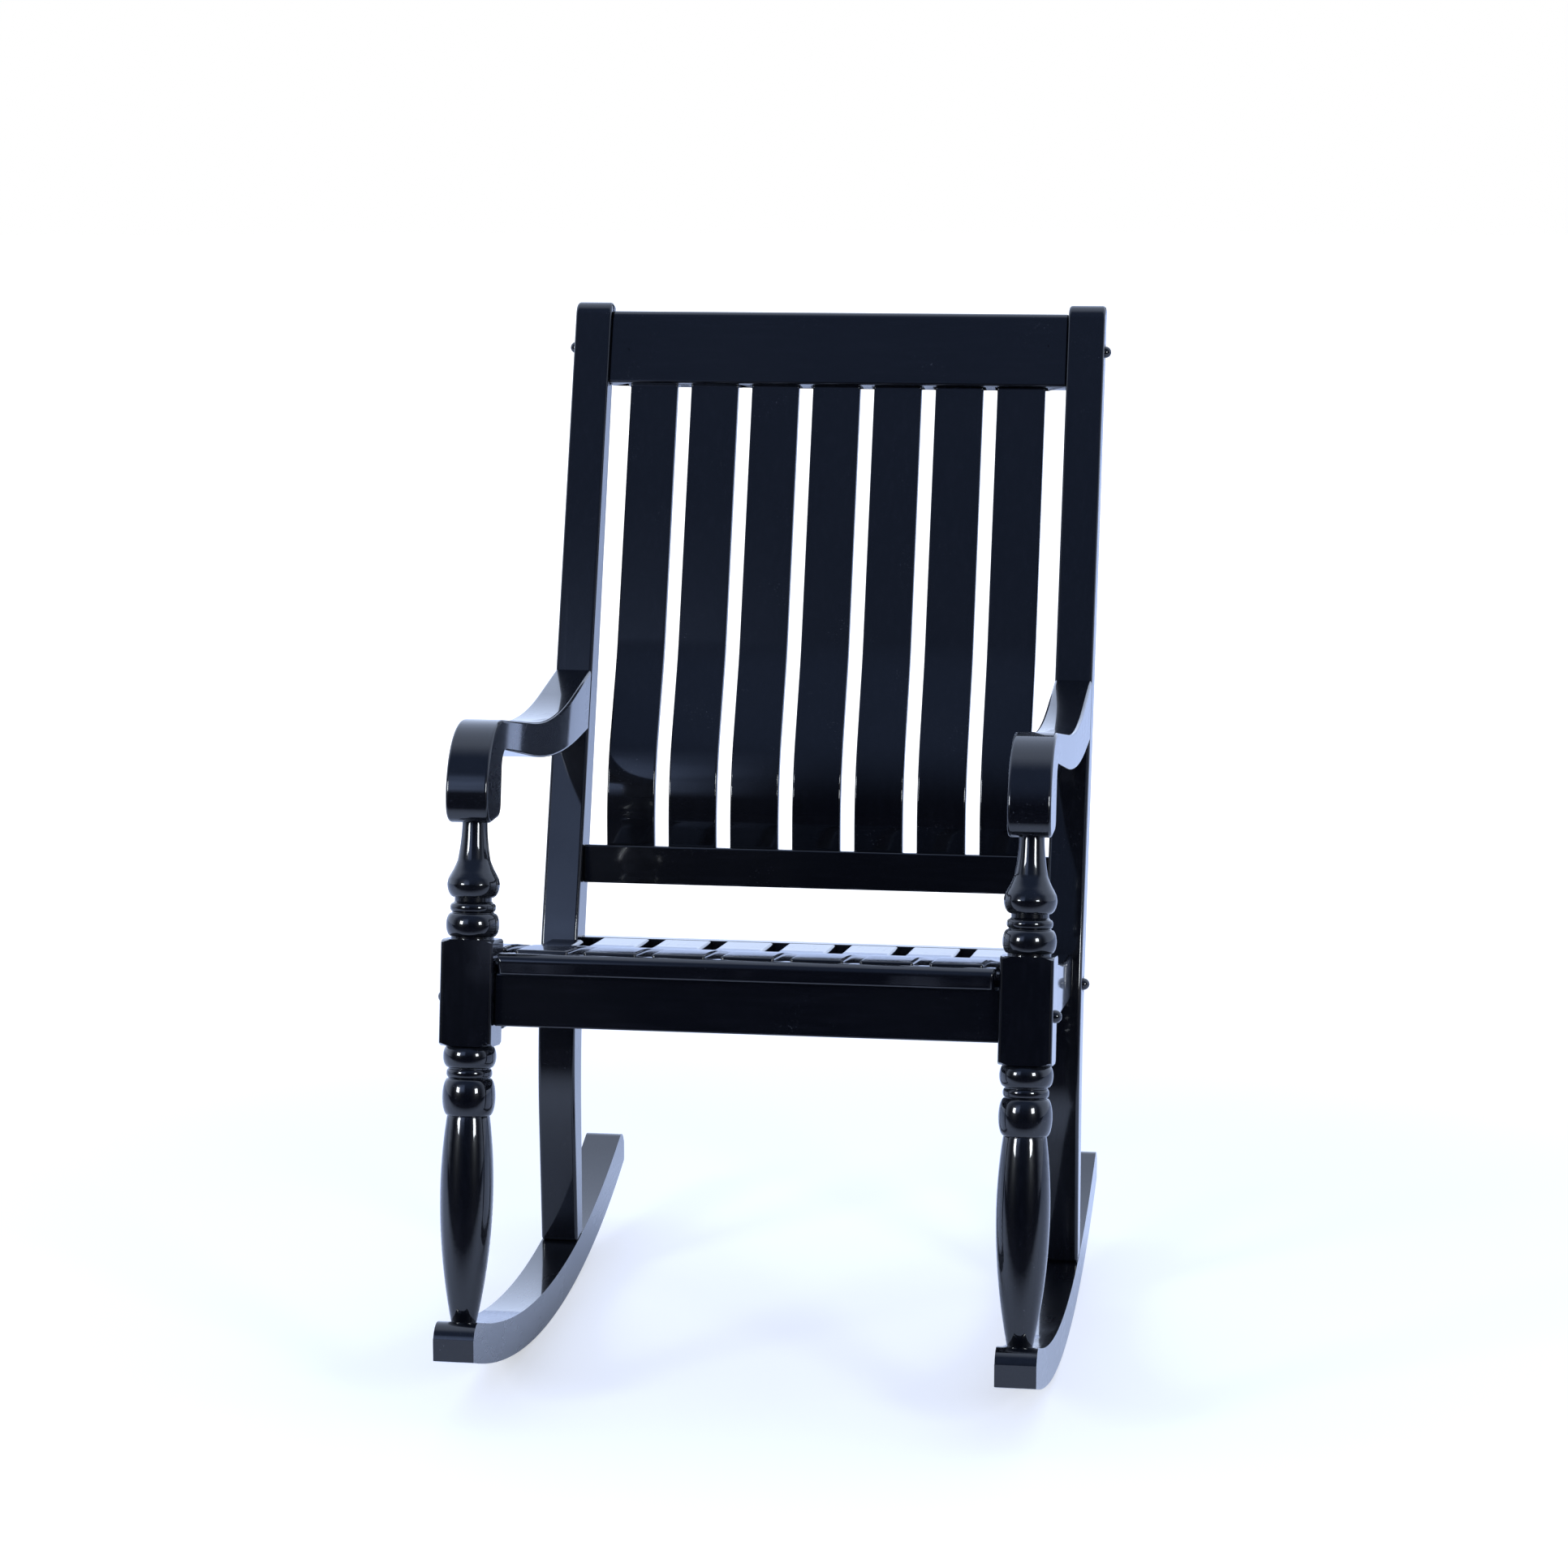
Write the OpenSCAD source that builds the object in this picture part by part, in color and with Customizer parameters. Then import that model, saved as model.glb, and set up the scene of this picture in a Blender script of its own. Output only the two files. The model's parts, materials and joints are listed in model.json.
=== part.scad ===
// Rocking chair with turned front legs, scrolled arms and a slatted back and seat.
// The origin is on the floor, midway between the side frames and under the
// centre of the rocker arcs. The chair faces -Y, and left is -X.

/* [Overall] */
// Distance between the centres of the two side frames
frame_spacing = 598; // [520:1:700]
// Height of the post tops above the floor
back_top_z = 1153; // [1090:1:1240]
// Lean of the front legs, and slope of the seat frame, in degrees
frame_lean = 9; // [7:0.5:11]
// Lean of the upper posts behind the vertical, in degrees
back_lean = 18.3; // [16:0.1:21]

/* [Rockers] */
// Radius of the curved sole
rocker_radius = 1280; // [1150:5:1450]
// Length of the rocker from end to end, along the floor
rocker_length = 854; // [800:1:900]
// Height of the rocker section
rocker_depth = 43; // [38:1:50]
// Thickness of the rockers and of the posts
frame_thick = 44; // [38:1:50]
// Radius of the top corner at each rocker end
rocker_end_round = 20; // [10:1:20]

/* [Front legs] */
// Side of the square block at seat height
block_side = 57; // [50:1:64]
// Length of the block along the leg
block_length = 114; // [104:1:124]
// Height of the block's lower end above the floor, on the leg's own axis
block_z = 396; // [380:1:420]
// Widest diameter of the turned beads and vase
turned_max_d = 57; // [50:0.5:60]
// Diameter of the leg at the rocker
leg_foot_d = 27; // [24:0.5:32]
// Diameter of the neck under the arm
leg_neck_d = 27; // [24:0.5:32]
// Diameter of the tenons into the rocker and the arm
tenon_d = 18; // [14:0.5:20]

/* [Posts] */
// Front-to-back depth of the post at its bend
post_depth_bend = 51; // [46:1:58]
// Front-to-back depth of the post at its top
post_depth_top = 28; // [26:1:34]
// Radius of the front corner of the post top
post_top_round = 18; // [8:1:18]

/* [Arms] */
// Height of the arm's upper edge where it meets the post
arm_z = 724; // [710:1:740]
// Depth of the arm at the post
arm_depth = 69; // [60:1:76]
// Width of the arm at the post
arm_w_rear = 44; // [40:1:50]
// Width of the arm at the scroll
arm_w_front = 46; // [44:1:56]

/* [Slats] */
// Space between one slat and the next
slat_gap = 16.7; // [10:0.1:24]
// Space between the outer slats and the posts
slat_end_gap = 25.6; // [15:0.1:35]
// Thickness of the back slats
back_slat_thick = 11; // [9:0.5:12]
// Thickness of the seat slats
seat_slat_thick = 16; // [12:0.5:18]

/* [Rails] */
// Height of the crest rail, measured vertically
crest_h = 86; // [76:1:96]
// Height of the lower back rail
lower_rail_h = 45; // [38:1:52]
// Width of the side seat rails
side_rail_w = 42; // [36:1:46]
// Thickness of the nose board
nose_thick = 22.5; // [18:0.5:26]

/* [Fasteners] */
// Diameter of the domed bolt plugs
plug_d = 14; // [12:0.5:16]
// Diameter of the frame bolts
bolt_d = 6; // [5:0.5:8]
// Diameter of the dowels
dowel_d = 10; // [8:0.5:10]

/* [Hidden] */

$fn = 96;
// Largest turn between two neighbouring points of a rounded corner, in degrees
arc_step = 6;
// Largest distance between two neighbouring points of a rounded corner
arc_chord = 12;
// Number of straight steps in each curve of the turned legs
turned_steps = 20;
// Facets of the large circles that the rockers are cut from
rocker_facets = 1440;
// Gap left all round a dowel, pin, tenon or bolt in its hole
fit_gap = 0.1;
// Length by which a cutting shape passes the surface it opens
through = 2;

black_lacquer = [0.06, 0.065, 0.09];
bare_steel = [0.7, 0.7, 0.72];
bare_wood = [0.78, 0.62, 0.42];

// ---- side frames

frame_x = frame_spacing / 2;
frame_inner_x = frame_x - frame_thick / 2;
frame_outer_x = frame_x + frame_thick / 2;
slat_count = 7;
slat_w = (2 * (frame_inner_x - slat_end_gap) - (slat_count - 1) * slat_gap) / slat_count;
slat_pitch = slat_w + slat_gap;
rocker_top_radius = rocker_radius - rocker_depth;
rocker_centre = [0, rocker_radius];

// ---- front leg: stations are measured along its axis from the block's lower end

rocker_toe = 97.5;
leg_at_block = [rocker_toe - rocker_length / 2, block_z];
leg_up = [sin(frame_lean), cos(frame_lean)];
leg_back = [cos(frame_lean), -sin(frame_lean)];
leg_to_centre = leg_at_block - rocker_centre;
leg_drop = leg_to_centre * leg_up
    + sqrt(pow(leg_to_centre * leg_up, 2) - leg_to_centre * leg_to_centre
           + rocker_top_radius * rocker_top_radius);
tenon_length = 26;
foot_margin = 12;
bead_gap = 12;
scroll_under_z = arm_z - 89;
leg_rise = (scroll_under_z - block_z) / cos(frame_lean);
scroll_front_y = leg_at_block[0] + leg_rise * sin(frame_lean) - 41.4;
scroll_rear_y = scroll_front_y + 67;
scroll_top_z = arm_z + 27;
scroll_low_round = 22;
arm_dip = [29, arm_z - 33.6];
scroll_slope = atan((scroll_top_z - arm_dip[1]) / (arm_dip[0] - scroll_front_y));
scroll_round = (scroll_top_z - scroll_under_z - scroll_low_round - 2) * tan(45 - scroll_slope / 2);
block_chamfer_d = block_side + 9;
block_corner_r = 4;

// ---- rear post: a straight foot, a bend and a straight, tapering upper part

post_bend = [109.4, block_z - 74.7];
post_foot_lean = 3.9;
post_bend_round = 656;
post_rear_drop = 17;
post_corner_z = back_top_z
    + post_top_round * (cos(back_lean) + sin(back_lean) - 1);

// ---- back

crest_set = post_depth_top - 20.5;
crest_thick = 21.5;
crest_top_z = back_top_z - 8;
crest_low_z = crest_top_z - crest_h;
back_slat_set = crest_set + crest_thick - back_slat_thick - 1;
back_slat_end = 12;
lower_rail_z = block_z + 81;
lower_rail_y = 181;
lower_rail_thick = 24;
back_slat_knee = [lower_rail_y + lower_rail_thick + 3 - back_slat_thick, block_z + 203];
back_slat_bend_z = block_z + 345;

// ---- seat: the shaped upper edge shared by the side rails and the slats

seat_front = leg_at_block + [44.5, 99];
seat_knee = seat_front + [49, -6.4];
seat_scoop = [52, seat_front[1] - 71.2];
seat_rear_slope = 0.09;
seat_front_slope = 0.13;
side_rail_x = frame_x - 10;
side_rail_low_z = seat_front[1] - 132;
side_rail_low_slope = 0.095;
seat_slat_front_y = leg_at_block[0] + 11.5;
seat_slat_rear_y = 168;

front_rail_thick = 26;
front_rail_set = block_side / 2 - 14.5;
front_rail_drop = 35;
slat_front_station = (seat_front[1] - (seat_slat_front_y - seat_front[0]) * seat_front_slope - block_z)
    / cos(frame_lean);
nose_depth = 27;
nose_drop = 4;
nose_low_station = slat_front_station - nose_drop - nose_thick;
nose_top_round = 9;
nose_low_round = 2.5;
nose_end_round = 9;
nose_inset = 5;
nose_set = -block_side / 2 - 1;
nose_half_length = frame_x - block_side / 2 - nose_inset;
rear_rail_y = 147;
rear_rail_thick = 41;
rear_rail_h = 44;
rear_bolt_set = 12;

// ---- fasteners

counterbore_depth = 14;
bolt_head_d = 11;
bolt_head_h = 4.5;
bolt_length = 76;
nut_d = 10;
nut_length = 14;
nut_inset = 20;
plug_proud = 7.5;
plug_stem = 5;
dowel_length = 44;
dowel_into_block = 18;
pin_d = 3;
pin_length = 24;
nose_pin_d = 6;
nose_pin_end = 25.5;
nose_pin_spacing = (nose_half_length - nose_pin_end) / 2;

// ---- functions

function unit(v) = v / norm(v);
function turned(v, angle) = [
    v[0] * cos(angle) - v[1] * sin(angle),
    v[0] * sin(angle) + v[1] * cos(angle)
];
function xy(p) = [p[0], p[1]];

// Points of one corner of an outline, with its radius in p[2].
function corner(before, here, after, radius) =
    let (
        a = unit(before - here),
        b = unit(after - here),
        half = acos(a * b) / 2,
        centre = here + unit(a + b) * radius / sin(half),
        start = here + a * radius / tan(half),
        sweep = 180 - 2 * half,
        side = a[0] * b[1] > a[1] * b[0] ? -1 : 1,
        steps = ceil(max(sweep / arc_step, radius * sweep * PI / 180 / arc_chord))
    )
    [for (i = [0:steps]) centre + turned(start - centre, side * sweep * i / steps)];

// Closed outline through corners given as [y, z, radius], or [y, z] if sharp.
function outline(corners) =
    let (n = len(corners))
    [for (i = [0:n - 1])
        let (
            here = corners[i],
            before = corners[(i + n - 1) % n],
            after = corners[(i + 1) % n]
        )
        each len(here) == 2
            ? [here]
            : corner(xy(before), xy(here), xy(after), here[2])
    ];

function moved(p, shift) = len(p) == 2 ? p + shift : [p[0] + shift[0], p[1] + shift[1], p[2]];
function reversed(list) = [for (i = [len(list) - 1:-1:0]) list[i]];

// Half-round bead of a turning, as [radius, station] points.
function bead(station, half_height, edge_r, top_r) =
    [for (i = [0:turned_steps])
        let (angle = -90 + 180 * i / turned_steps)
        [edge_r + (top_r - edge_r) * cos(angle), station + half_height * sin(angle)]
    ];

// Swelling with a parabolic profile, from its widest point towards a narrower end.
function swelling(from, to, wide_r, narrow_r) =
    [for (i = [0:turned_steps])
        let (t = i / turned_steps)
        [wide_r + (narrow_r - wide_r) * t * t, from + (to - from) * t]
    ];

// Front plane of the upper post at height z, and points set behind it.
function post_front_y(z) = post_bend[0] + (z - post_bend[1]) * tan(back_lean);
function behind_post_front(z, set) = [post_front_y(z) + set / cos(back_lean), z];
function leg_point(station, set) = leg_at_block + station * leg_up + set * leg_back;
function rocker_top_z(y) = rocker_radius - sqrt(pow(rocker_top_radius, 2) - y * y);
function seat_rear_z(y) = seat_scoop[1] - (y - seat_scoop[0]) * seat_rear_slope;
function seat_front_z(y) = seat_front[1] - (y - seat_front[0]) * seat_front_slope;
function slat_x(number) = (number - (slat_count + 1) / 2) * slat_pitch;

// ---- shared shapes

// Outline in the plane of Y and Z, made solid across a width centred on x.
module side_board(x, width) {
    translate([x, 0, 0])
        rotate([90, 0, 90])
            linear_extrude(height = width, center = true)
                children();
}

module left_copy() {
    mirror([1, 0, 0])
        children();
}

module both_sides() {
    children();
    left_copy()
        children();
}

// Round bar along X, Y or Z, turned about the X axis, centred on a point.
module bar(centre, turn, diameter, length) {
    translate(centre)
        rotate(turn)
            cylinder(d = diameter, h = length, center = true);
}

module rounded_square(side, radius) {
    flat = side - 2 * radius;
    square([side, flat], center = true);
    square([flat, side], center = true);
    for (x = [-1, 1], y = [-1, 1])
        translate([x * flat / 2, y * flat / 2])
            circle(r = radius);
}

// ---- rocker

// Arc between two radii, cut off upright at a distance to either side.
module rocker_arc(inner, outer, half_length) {
    intersection() {
        translate(rocker_centre)
            difference() {
                circle(r = outer, $fn = rocker_facets);
                circle(r = inner, $fn = rocker_facets);
            }
        translate([-half_length, 0])
            square([2 * half_length, rocker_radius]);
    }
}

module rocker_profile() {
    half_length = rocker_length / 2;
    round_radius = rocker_top_radius + rocker_end_round;
    round_y = half_length - rocker_end_round;
    round_z = rocker_radius - sqrt(round_radius * round_radius - round_y * round_y);
    rocker_arc(rocker_top_radius, rocker_radius, round_y * rocker_top_radius / round_radius);
    rocker_arc(round_radius, rocker_radius, half_length);
    for (side = [-1, 1])
        translate([side * round_y, round_z])
            circle(r = rocker_end_round);
}

module rocker() {
    color(black_lacquer)
        difference() {
            side_board(frame_x, frame_thick)
                rocker_profile();
            leg_tenon(-leg_drop, -1, fit_gap);
            post_foot_dowels_right(fit_gap);
        }
}

// ---- front leg

// Tenon on the leg's axis, from a station upward (1) or downward (-1).
module leg_tenon(station, direction, grow) {
    start = leg_point(station, 0);
    translate([frame_x, start[0], start[1]])
        rotate([-frame_lean, 0, 0])
            translate([0, 0, (tenon_length + grow) / 2 * direction])
                cylinder(d = tenon_d + 2 * grow, h = tenon_length + grow + foot_margin, center = true);
}

function lower_turning() =
    let (
        wide = turned_max_d / 2,
        foot = leg_foot_d / 2,
        vase_top = -77,
        vase_wide = -156
    )
    concat(
        [[0, -leg_drop - foot_margin], [foot, -leg_drop - foot_margin]],
        reversed(swelling(vase_wide, -leg_drop, wide, foot)),
        swelling(vase_wide, vase_top, wide, wide * 0.81),
        bead(-55.5, 20, wide * 0.79, wide),
        bead(-30, 4.5, wide * 0.79, wide * 0.86),
        bead(-bead_gap, bead_gap, wide * 0.8, wide),
        [[0, 0]]
    );

// The upper turning fills the space between the block and the scroll.
function upper_turning() =
    let (
        wide = turned_max_d / 2,
        neck = leg_neck_d / 2,
        top = leg_rise - block_length,
        unit = top / 128,
        bell = 59 * unit,
        neck_start = 84 * unit
    )
    concat(
        [[0, 0], [wide * 0.81, 0]],
        bead(15 * unit, 12.5 * unit, wide * 0.81, wide),
        bead(33.5 * unit, 4.5 * unit, wide * 0.77, wide * 0.86),
        [
            [wide * 0.7, 40 * unit],
            [wide * 0.7, 44 * unit]
        ],
        [for (i = [1:turned_steps])
            let (angle = 90 * i / turned_steps)
            [wide * (0.7 + 0.29 * sin(angle)), bell - 15 * unit * cos(angle)]
        ],
        [
            [wide * 0.955, bell + 5 * unit],
            [wide * 0.87, bell + 10 * unit],
            [wide * 0.77, bell + 15 * unit],
            [wide * 0.69, bell + 20 * unit]
        ],
        [for (i = [0:turned_steps])
            let (t = i / turned_steps)
            [neck + (wide * 0.62 - neck) * pow(1 - t, 2), neck_start + (top - neck_start) * t]
        ],
        [[neck, top + foot_margin], [0, top + foot_margin]]
    );

// The block's corners are turned away at both ends.
module leg_block() {
    intersection() {
        linear_extrude(height = block_length)
            rounded_square(block_side, block_corner_r);
        rotate_extrude()
            polygon([
                [0, 0],
                [block_chamfer_d / 2, 0],
                [block_side, 14],
                [block_side, block_length - 14],
                [block_chamfer_d / 2, block_length],
                [0, block_length]
            ]);
    }
}

module front_leg() {
    color(black_lacquer)
        difference() {
            union() {
                intersection() {
                    translate([frame_x, leg_at_block[0], leg_at_block[1]])
                        rotate([-frame_lean, 0, 0]) {
                            rotate_extrude()
                                polygon(lower_turning());
                            leg_block();
                            translate([0, 0, block_length])
                                rotate_extrude()
                                    polygon(upper_turning());
                        }
                    side_board(frame_x, block_side + through)
                        intersection() {
                            translate(rocker_centre)
                                circle(r = rocker_top_radius, $fn = rocker_facets);
                            translate([-rocker_length, -rocker_length])
                                square([2 * rocker_length, rocker_length + scroll_under_z]);
                        }
                }
                leg_tenon(-leg_drop, -1, 0);
                leg_tenon(leg_rise, 1, 0);
            }
            frame_bolt_hole(block_site);
            side_rail_dowels_right(fit_gap);
        }
}

// ---- rear post

module post_profile() {
    back = [cos(back_lean), -sin(back_lean)];
    top_front = [post_front_y(post_corner_z), post_corner_z];
    foot_z = rocker_top_z(post_bend[0]) - foot_margin;
    foot_front = post_bend + (post_bend[1] - foot_z) * [tan(post_foot_lean), -1];
    rear_bend = post_bend + [post_depth_bend, -post_rear_drop];
    polygon(outline([
        foot_front,
        [post_bend[0], post_bend[1], post_bend_round],
        [top_front[0], top_front[1], post_top_round],
        top_front + post_depth_top * back,
        [rear_bend[0], rear_bend[1], post_bend_round],
        [rear_bend[0] + 1, foot_z]
    ]));
}

module rear_post() {
    color(black_lacquer)
        difference() {
            side_board(frame_x, frame_thick)
                intersection() {
                    post_profile();
                    translate(rocker_centre)
                        circle(r = rocker_top_radius, $fn = rocker_facets);
                }
            frame_bolt_hole(crest_site);
            frame_bolt_hole(rear_rail_site);
            post_foot_dowels_right(fit_gap);
            side_rail_dowels_right(fit_gap);
            arm_dowels_right(fit_gap);
            lower_rail_dowels_right(fit_gap);
        }
}

// ---- arm

// Upper edge from the post to the scroll, round the scroll, and back underneath.
module arm_profile() {
    under_z = arm_z - arm_depth;
    polygon(outline([
        [post_front_y(arm_z), arm_z],
        [arm_dip[0], arm_dip[1], 700],
        [scroll_front_y, scroll_top_z, scroll_round],
        [scroll_front_y, scroll_under_z, scroll_low_round],
        [scroll_rear_y, scroll_under_z, 15],
        [scroll_rear_y + 13, arm_z - 19, 20],
        [36, arm_z - 78.3, 1000],
        [post_front_y(under_z), under_z]
    ]));
}

module arm_plan() {
    front_y = scroll_front_y - through;
    rear_y = post_front_y(arm_z) + through;
    polygon([
        [frame_x - arm_w_rear / 2, rear_y],
        [frame_x - arm_w_front / 2, front_y],
        [frame_x + arm_w_front / 2, front_y],
        [frame_x + arm_w_rear / 2, rear_y]
    ]);
}

module arm() {
    color(black_lacquer)
        difference() {
            intersection() {
                side_board(frame_x, arm_w_front + arm_w_rear)
                    arm_profile();
                linear_extrude(height = back_top_z)
                    arm_plan();
            }
            leg_tenon(leg_rise, 1, fit_gap);
            arm_dowels_right(fit_gap);
        }
}

// ---- back

module crest_rail() {
    back = [cos(back_lean), -sin(back_lean)];
    low = behind_post_front(crest_low_z, crest_set);
    top = behind_post_front(crest_top_z, crest_set);
    top_rear = top + crest_thick * back;
    color(black_lacquer)
        difference() {
            side_board(0, 2 * frame_inner_x)
                polygon(outline([
                    low,
                    [top[0], top[1], 9],
                    [top_rear[0], top_rear[1], 4],
                    low + crest_thick * back
                ]));
            for (number = [1:slat_count])
                back_slat_body(number, fit_gap);
            rail_bolt_holes(crest_site);
        }
}

// The lower rail leans with the front legs. Puts its children in its own frame.
module in_lower_rail() {
    translate([0, lower_rail_y, lower_rail_z])
        rotate([-frame_lean, 0, 0])
            children();
}

module lower_back_rail() {
    color(black_lacquer)
        difference() {
            in_lower_rail()
                translate([-frame_inner_x, 0, 0])
                    cube([2 * frame_inner_x, lower_rail_thick, lower_rail_h]);
            for (number = [1:slat_count])
                back_slat_body(number, fit_gap);
            both_sides()
                lower_rail_dowels_right(fit_gap);
        }
}

// Slat outline: its front face, then its back face a thickness behind.
module back_slat_profile(grow) {
    top = behind_post_front(crest_low_z + back_slat_end + grow, back_slat_set - grow);
    bend = behind_post_front(back_slat_bend_z, back_slat_set - grow);
    knee = back_slat_knee - [grow, 0];
    low = [knee[0], lower_rail_z + lower_rail_h - back_slat_end - grow];
    thick = back_slat_thick + 2 * grow;
    knee_shift = thick * [1, -tan((back_lean + 8) / 2)];
    bend_shift = thick * [cos(back_lean + 4), -sin(back_lean + 4)];
    polygon(outline([
        low,
        [knee[0], knee[1], 250],
        [bend[0], bend[1], 300],
        top,
        top + thick * [cos(back_lean), -sin(back_lean)],
        [bend[0] + bend_shift[0], bend[1] + bend_shift[1], 300],
        [knee[0] + knee_shift[0], knee[1] + knee_shift[1], 250],
        low + [thick, 0]
    ]));
}

module back_slat_body(number, grow) {
    side_board(slat_x(number), slat_w + 2 * grow)
        back_slat_profile(grow);
}

module back_slat(number) {
    color(black_lacquer)
        back_slat_body(number, 0);
}

// ---- seat

// The slats and the nose board lie on the rail and shape its top.
module front_rail_profile() {
    low = block_length / 2 - front_rail_drop;
    high = slat_front_station - seat_slat_thick / 2;
    polygon([
        leg_point(low, -front_rail_set),
        leg_point(high, -front_rail_set),
        leg_point(high, front_rail_thick - front_rail_set),
        leg_point(low, front_rail_thick - front_rail_set)
    ]);
}

module front_seat_rail() {
    color(black_lacquer)
        difference() {
            side_board(0, 2 * frame_x - block_side)
                difference() {
                    front_rail_profile();
                    seat_slat_profile();
                    nose_profile();
                }
            rail_bolt_holes(block_site);
            seat_slat_pin_bores();
            nose_pins(fit_gap);
        }
}

// Board with a rounded front edge, ahead of the slats and over the front rail.
module nose_profile() {
    high = slat_front_station - nose_drop;
    rear = nose_set + nose_depth;
    front_corner = leg_point(high, nose_set);
    low_corner = leg_point(nose_low_station, nose_set);
    polygon(outline([
        leg_point(high, rear),
        [front_corner[0], front_corner[1], nose_top_round],
        [low_corner[0], low_corner[1], nose_low_round],
        leg_point(nose_low_station, rear)
    ]));
}

module nose_plan() {
    front_y = leg_point(nose_low_station, nose_set)[0];
    rear_y = front_y + 2 * nose_depth;
    polygon(outline([
        [-nose_half_length, front_y, nose_end_round],
        [nose_half_length, front_y, nose_end_round],
        [nose_half_length, rear_y],
        [-nose_half_length, rear_y]
    ]));
}

module seat_nose_board() {
    color(black_lacquer)
        difference() {
            intersection() {
                side_board(0, 2 * nose_half_length)
                    difference() {
                        nose_profile();
                        seat_slat_profile();
                    }
                linear_extrude(height = back_top_z)
                    nose_plan();
            }
            nose_pins(fit_gap);
        }
}

function slat_under_z(y) = seat_rear_z(y) - seat_slat_thick;

// The slats lie on a ledge, and the rail behind them is flush with their tops.
module rear_seat_rail() {
    low = slat_under_z(rear_rail_y) - rear_rail_h;
    rear_y = rear_rail_y + rear_rail_thick;
    color(black_lacquer)
        difference() {
            side_board(0, 2 * frame_inner_x)
                polygon([
                    [rear_rail_y, low],
                    [rear_rail_y, slat_under_z(rear_rail_y)],
                    [seat_slat_rear_y, slat_under_z(seat_slat_rear_y)],
                    [seat_slat_rear_y, seat_rear_z(seat_slat_rear_y)],
                    [rear_y, seat_rear_z(rear_y)],
                    [rear_y, low]
                ]);
            rail_bolt_holes(rear_rail_site);
            seat_slat_pin_bores();
        }
}

// The slat keeps its thickness under the whole of its shaped upper edge.
module seat_slat_profile() {
    front = [seat_slat_front_y, seat_front_z(seat_slat_front_y)];
    rear = [seat_slat_rear_y, seat_rear_z(seat_slat_rear_y)];
    drop = [0, -seat_slat_thick];
    top = [
        front,
        [seat_knee[0], seat_knee[1], 700],
        [seat_scoop[0], seat_scoop[1], 900],
        rear
    ];
    under = [front, [seat_knee[0], seat_knee[1], 700], [seat_scoop[0], seat_scoop[1], 900], rear];
    polygon(outline(concat(top, [for (p = reversed(under)) moved(p, drop)])));
}

module seat_slat(number) {
    color(black_lacquer)
        difference() {
            side_board(slat_x(number), slat_w)
                seat_slat_profile();
            seat_slat_pin_bores();
        }
}

module side_rail_profile() {
    block_rear = leg_point(0, block_side / 2);
    rear_y = post_bend[0] + post_depth_bend;
    low_front_z = side_rail_low_z - (block_rear[0] - rear_y) * side_rail_low_slope;
    difference() {
        polygon(outline([
            [seat_front[0] - 30, seat_front_z(seat_front[0] - 30)],
            [seat_knee[0], seat_knee[1], 700],
            [seat_scoop[0], seat_scoop[1], 900],
            [rear_y, seat_rear_z(rear_y)],
            [rear_y, side_rail_low_z],
            [block_rear[0] - 30, low_front_z + 30 * side_rail_low_slope]
        ]));
        polygon([
            leg_point(-block_length, block_side / 2),
            leg_point(2 * block_length, block_side / 2),
            leg_point(2 * block_length, -2 * block_side),
            leg_point(-block_length, -2 * block_side)
        ]);
        post_profile();
    }
}

module side_seat_rail() {
    color(black_lacquer)
        difference() {
            side_board(side_rail_x, side_rail_w)
                side_rail_profile();
            side_rail_dowels_right(fit_gap);
        }
}

// ---- frame bolts, each given as [y, z, lean, outer x, rail end x]

block_site = [
    leg_point(block_length / 2 - 6, 0)[0],
    leg_point(block_length / 2 - 6, 0)[1],
    frame_lean,
    frame_x + block_side / 2,
    frame_x - block_side / 2
];
crest_centre = behind_post_front((crest_low_z + crest_top_z) / 2, crest_set)
    + crest_thick / 2 * [cos(back_lean), -sin(back_lean)];
crest_site = [crest_centre[0], crest_centre[1], back_lean, frame_outer_x, frame_inner_x];
rear_rail_site = [
    rear_rail_y + rear_bolt_set,
    slat_under_z(rear_rail_y) - rear_rail_h / 2,
    0,
    frame_outer_x,
    frame_inner_x
];
bolt_sites = [block_site, crest_site, rear_rail_site];

// Puts its children at a bolt site, with X outward along the bolt.
module at_site(site, x) {
    translate([x, site[0], site[1]])
        rotate([-site[2], 0, 0])
            children();
}

module frame_bolt(site) {
    at_site(site, site[3] - counterbore_depth) {
        rotate([0, 90, 0])
            cylinder(d = bolt_head_d, h = bolt_head_h);
        rotate([0, -90, 0])
            cylinder(d = bolt_d, h = bolt_length);
    }
}

module frame_bolt_hole(site) {
    at_site(site, site[3] - counterbore_depth) {
        rotate([0, 90, 0])
            cylinder(d = plug_d + 2 * fit_gap, h = counterbore_depth + through);
        rotate([0, -90, 0])
            cylinder(d = bolt_d + 2 * fit_gap, h = bolt_length + through);
    }
}

module barrel_nut(site) {
    at_site(site, site[4] - nut_inset)
        difference() {
            rotate([90, 0, 0])
                cylinder(d = nut_d, h = nut_length, center = true);
            rotate([0, 90, 0])
                cylinder(d = bolt_d + 2 * fit_gap, h = 2 * nut_d, center = true);
        }
}

// The nut is put in from behind the rail.
module rail_bolt_holes(site) {
    both_sides() {
        frame_bolt_hole(site);
        at_site(site, site[4] - nut_inset)
            translate([0, -nut_length / 2 - fit_gap, 0])
                rotate([-90, 0, 0])
                    cylinder(d = nut_d + 2 * fit_gap, h = 3 * nut_length);
    }
}

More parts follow.
